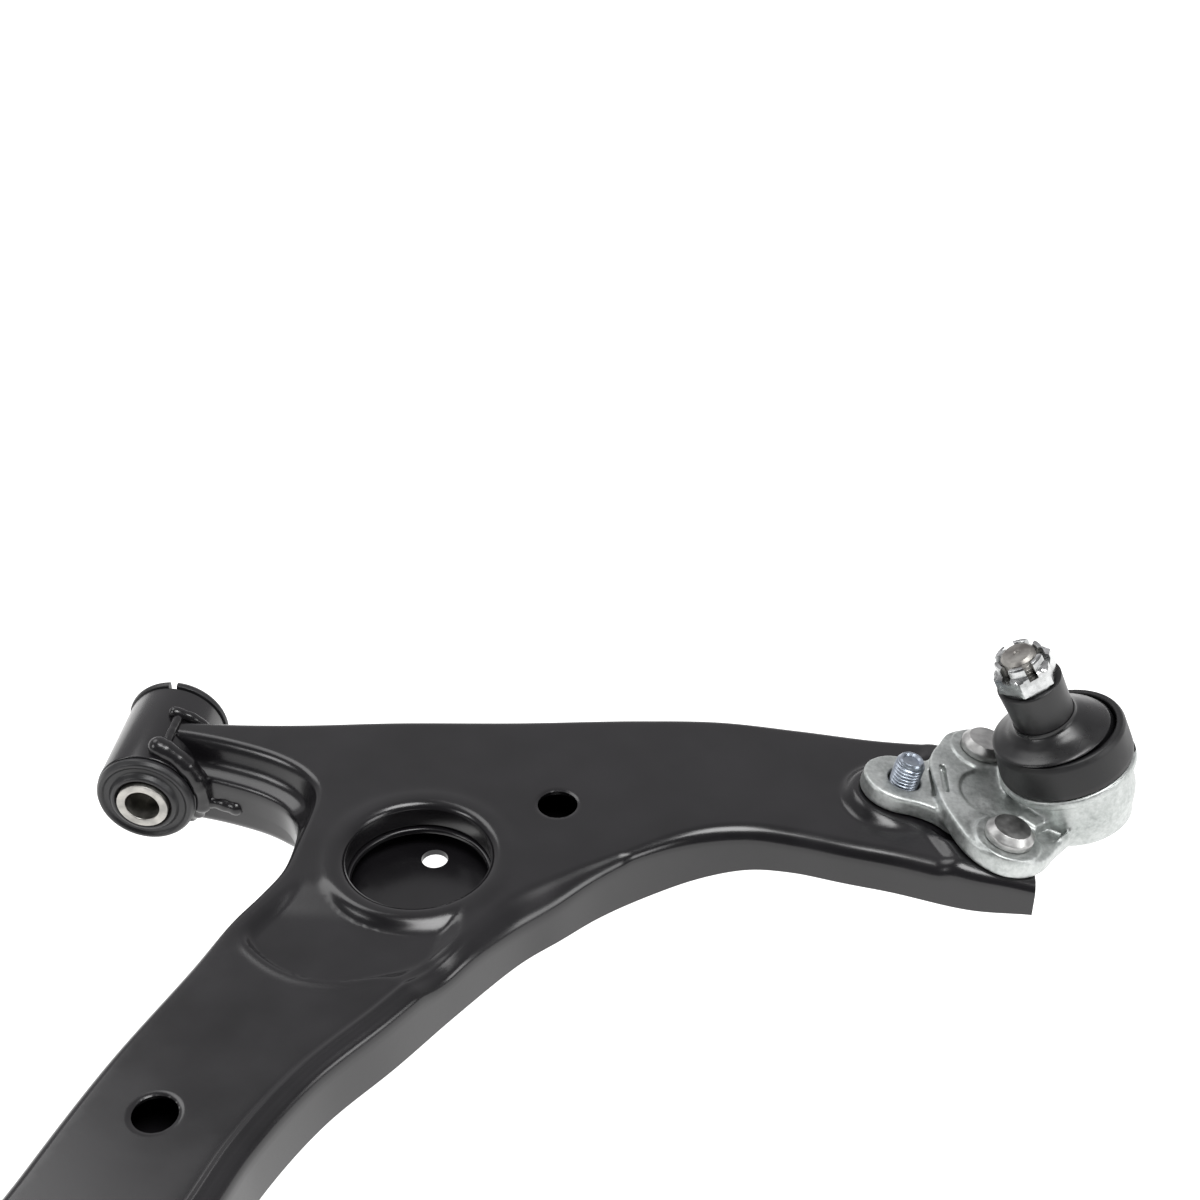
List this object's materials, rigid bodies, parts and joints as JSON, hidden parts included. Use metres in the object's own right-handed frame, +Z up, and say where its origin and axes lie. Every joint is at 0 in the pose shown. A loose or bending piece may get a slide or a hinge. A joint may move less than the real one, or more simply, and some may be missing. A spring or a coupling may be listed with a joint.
{
  "type": "control arm",
  "caption": "L-shaped pressed-steel front lower control arm with two rubber bushes and a bolted-on ball joint carrying a tapered stud and castle nut.",
  "frame": {"origin": "centre of the bounding box in plan, at the lowest point of the part", "axes": "+X outboard to the ball joint, +Y forward along the front bush, +Z up out of the flat top face of the arm"},
  "size_m": [0.4272, 0.3564, 0.1146],
  "materials": {
    "black_paint": "semi-gloss black paint",
    "weld_paint": "semi-gloss black paint over weld ripples",
    "black_rubber": "soft matt black",
    "black_plastic": "matt black",
    "zinc_forging": "dull mottled zinc on a forging",
    "bright_zinc": "bright zinc",
    "blue_zinc": "bluish zinc",
    "bare_steel": "turned bare steel",
    "white_nylon": "smooth off-white nylon"
  },
  "bodies": {
    "arm": {"upper_shell": "black_paint", "lower_shell": "black_paint", "end_doubler": "black_paint", "front_bush_tube": "black_paint", "front_bush_outer_sleeve": "bare_steel", "front_bush_rubber": "black_rubber", "rear_bush_ring": "black_paint", "rear_bush_outer_sleeve": "bare_steel", "rear_bush_rubber": "black_rubber", "ball_joint_housing": "zinc_forging", "socket_cover": "zinc_forging", "dust_shield": "black_plastic", "boot_lower_ring": "bare_steel", "flange_stud_outer_front": "zinc_forging", "flange_nut_outer_front": "blue_zinc", "flange_stud_outer_rear": "zinc_forging", "flange_nut_outer_rear": "blue_zinc", "flange_bolt": "blue_zinc", "tube_weld_rear": "weld_paint", "tube_weld_front": "weld_paint", "ring_weld_top": "weld_paint", "ring_weld_bottom": "weld_paint"},
    "front_sleeve": {"front_bush_inner_sleeve": "bare_steel"},
    "rear_sleeve": {"rear_bush_inner_sleeve": "bare_steel"},
    "joint_seat": {"bearing_seat": "white_nylon", "ball_joint_boot": "black_rubber"},
    "boot_ring": {"boot_upper_ring": "bare_steel"},
    "ball_stud": {"ball_stud": "bare_steel", "taper_sleeve": "black_plastic", "castle_nut": "bright_zinc"}
  },
  "joints": [
    {"name": "front_bush_twist", "type": "hinge", "parent": "arm", "child": "front_sleeve", "pos_m": [-0.19177, 0.14782, 0.0218], "axis": [0, 1, 0], "range_deg": [-20, 20], "stiffness_Nm_per_rad": 20},
    {"name": "rear_bush_tilt", "type": "hinge", "parent": "arm", "child": "rear_sleeve", "pos_m": [-0.14677, -0.14218, 0.0288], "axis": [-0.1533, 0.9879, -0.0239], "range_deg": [-8, 8], "stiffness_Nm_per_rad": 40, "deforming": ["rear_bush_rubber"]},
    {"name": "ball_joint_turn", "type": "hinge", "parent": "arm", "child": "joint_seat", "pos_m": [0.18583, 0.14502, 0.0486], "axis": [-0.3498, 0.049, 0.9355], "continuous": true},
    {"name": "ball_joint_tilt", "type": "hinge", "parent": "joint_seat", "child": "boot_ring", "pos_m": [0.18583, 0.14502, 0.0486], "axis": [0.5856, -0.7681, 0.2592], "range_deg": [-28, 15], "deforming": ["ball_joint_boot"]},
    {"name": "stud_spin", "type": "hinge", "parent": "boot_ring", "child": "ball_stud", "pos_m": [0.18583, 0.14502, 0.0486], "axis": [-0.4304, -0.0236, 0.9023], "continuous": true}
  ]
}
